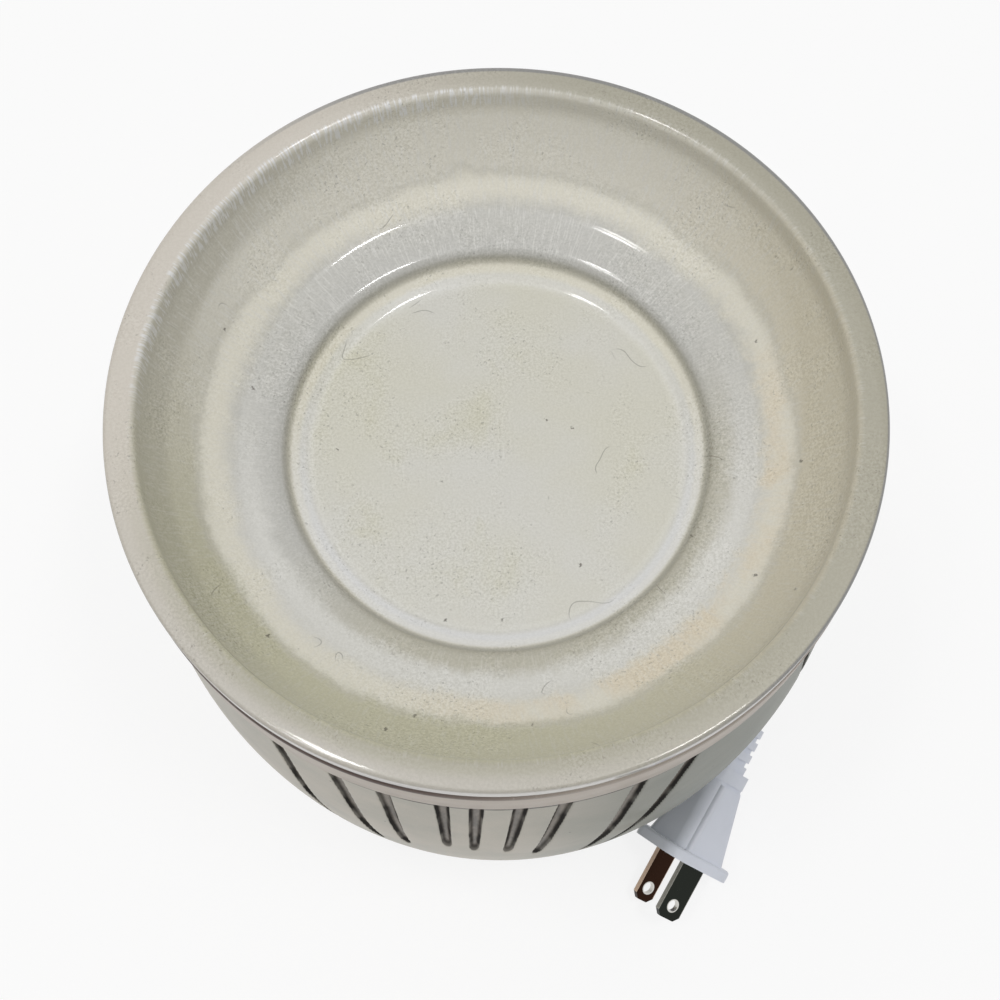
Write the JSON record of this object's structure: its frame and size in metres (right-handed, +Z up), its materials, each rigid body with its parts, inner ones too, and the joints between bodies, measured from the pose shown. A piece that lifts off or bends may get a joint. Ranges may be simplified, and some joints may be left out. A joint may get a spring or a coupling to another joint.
{
  "type": "wax melt warmer",
  "caption": "Electric wax melt warmer: a fluted ceramic body with a lift-off stepped glazed dish over a hot plate, and a cord with an in-line rocker switch and a two-blade plug.",
  "frame": {"origin": "on the table, on the axis of the body, level with the soles of the rubber feet", "axes": "+Z up along the axis of body and dish, -Y towards the front of the warmer, +Y towards the cord outlet"},
  "size_m": [0.1875, 0.2669, 0.159],
  "materials": {
    "dish_glaze": "glossy pearl cream glaze",
    "body_glaze": "glossy cream glaze, dark wash in the flutes",
    "tray_plastic": "heat-resistant moulding",
    "cast_aluminium": "satin",
    "steel": "zinc plated",
    "mica": "mica paper",
    "dark_plastic": "phenolic",
    "wire_sleeve": "glass-fibre sleeve",
    "base_paint": "white powder coat",
    "foot_rubber": "matt",
    "brass": "bare",
    "cord_pvc": "soft vinyl",
    "tie_plastic": "soft strap",
    "switch_plastic": "moulded white",
    "rocker_plastic": "moulded white",
    "plug_pvc": "soft moulded white",
    "blade_metal": "tarnished nickel"
  },
  "bodies": {
    "warmer": {"fluted_body": "body_glaze", "heater_tray": "tray_plastic", "hot_plate": "cast_aluminium", "heating_element": "steel", "insulation_pad": "mica", "clamp_plate": "steel", "clamp_screws": "steel", "plate_screws": "steel", "thermostat": "dark_plastic", "thermostat_screws": "steel", "thermal_fuse": "steel", "lead_live": "wire_sleeve", "lead_neutral": "wire_sleeve", "element_jumper": "wire_sleeve", "tie_rod": "steel", "rod_washers": "steel", "rod_nuts": "steel", "base_plate": "base_paint", "rubber_feet": "foot_rubber", "terminal_block": "tray_plastic", "terminal_screws": "brass", "cord_bushing": "cord_pvc", "cord_lead": "cord_pvc", "cord_coil": "cord_pvc", "cord_tie": "tie_plastic", "cord_to_switch": "cord_pvc", "switch_upper_shell": "switch_plastic", "switch_lower_shell": "switch_plastic", "switch_contacts": "brass", "switch_screws": "steel", "cord_to_plug": "cord_pvc", "plug_body": "plug_pvc", "plug_blades": "blade_metal"},
    "dish": {"melt_dish": "dish_glaze"},
    "rocker": {"switch_rocker": "rocker_plastic"}
  },
  "joints": [
    {"name": "dish_lift", "type": "slide", "parent": "warmer", "child": "dish", "axis": [0, 0, 1], "range_m": [0, 0.06]},
    {"name": "switch_rock", "type": "hinge", "parent": "warmer", "child": "rocker", "pos_m": [0.093, 0.065, 0.013], "axis": [1, 0, 0], "range_deg": [-16, 0]}
  ]
}
